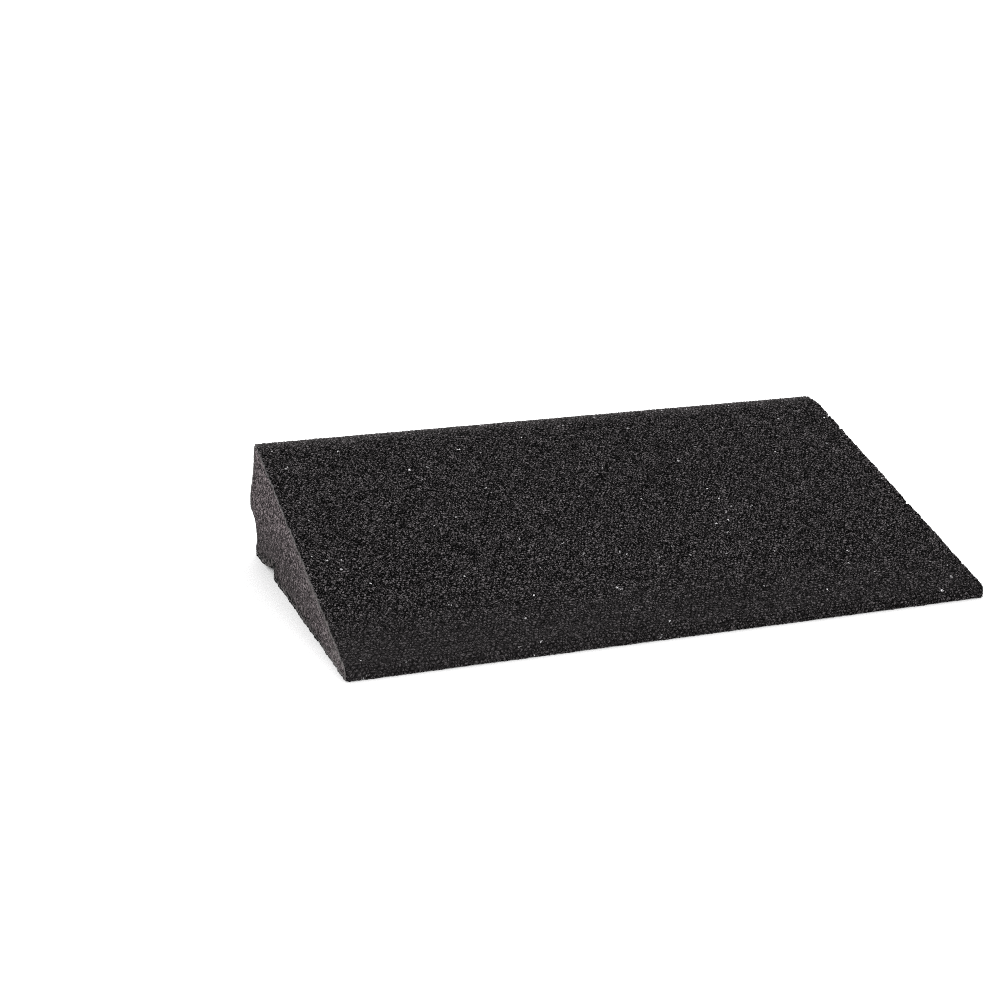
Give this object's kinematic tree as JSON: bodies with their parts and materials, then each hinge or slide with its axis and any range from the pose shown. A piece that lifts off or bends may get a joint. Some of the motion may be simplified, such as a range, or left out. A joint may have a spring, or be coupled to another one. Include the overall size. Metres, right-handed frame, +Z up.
{
  "type": "sanding block",
  "caption": "Wedge-shaped sanding block: a firm foam core with coarse black abrasive grain bonded to its sloping face, base, thick back and thin front lip.",
  "frame": {"origin": "middle of the flat base, on the surface that the block stands on", "axes": "+X along the length, -Y towards the thin front lip, +Y towards the thick back, +Z up"},
  "size_m": [0.124, 0.073, 0.0245],
  "materials": {
    "foam": "brownish grey open-cell polyurethane foam, cut across at the ends",
    "bond_resin": "dark cured resin, semi-matt",
    "abrasive_grit": "coarse charcoal-black mineral grain in resin, with sparse bright facets"
  },
  "bodies": {
    "root": {"foam_core": "foam", "slope_bond": "bond_resin", "back_bond": "bond_resin", "base_bond": "bond_resin", "lip_bond": "bond_resin", "slope_grit": "abrasive_grit", "back_grit": "abrasive_grit", "base_grit": "abrasive_grit", "lip_grit": "abrasive_grit"}
  },
  "joints": []
}
